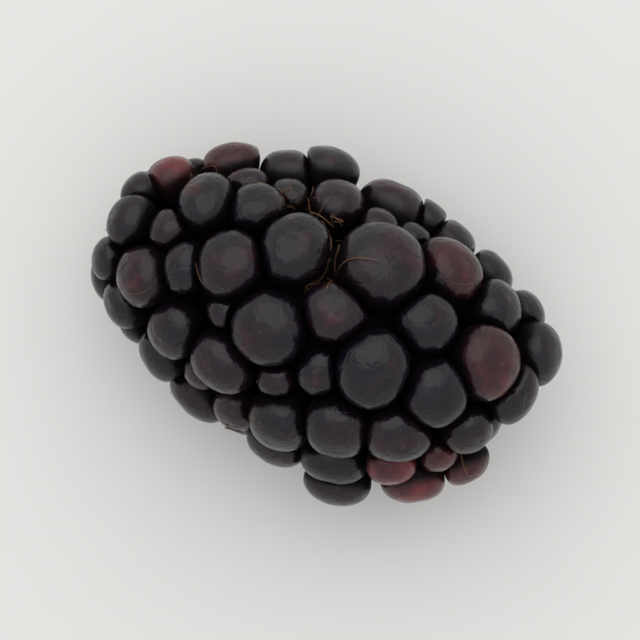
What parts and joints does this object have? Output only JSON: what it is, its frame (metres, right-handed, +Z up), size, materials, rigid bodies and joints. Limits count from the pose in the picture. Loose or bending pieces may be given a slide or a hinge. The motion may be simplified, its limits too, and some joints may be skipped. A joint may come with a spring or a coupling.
{
  "type": "bramble berry",
  "caption": "Ripe bramble berry lying on its side as picked: a cluster of juicy drupelets grown together on a pale receptacle that shows at the stem end.",
  "frame": {"origin": "middle of the footprint, on the surface that the berry lies on", "axes": "+X runs along the berry from the stem end to the tip, +Z is up, and +Y is to the left of someone looking from the stem end to the tip"},
  "size_m": [0.034, 0.0234, 0.0206],
  "materials": {
    "drupelet_skin": "satin",
    "receptacle_pith": "matte"
  },
  "bodies": {
    "root": {"drupelets": "drupelet_skin", "receptacle": "receptacle_pith"}
  },
  "joints": []
}
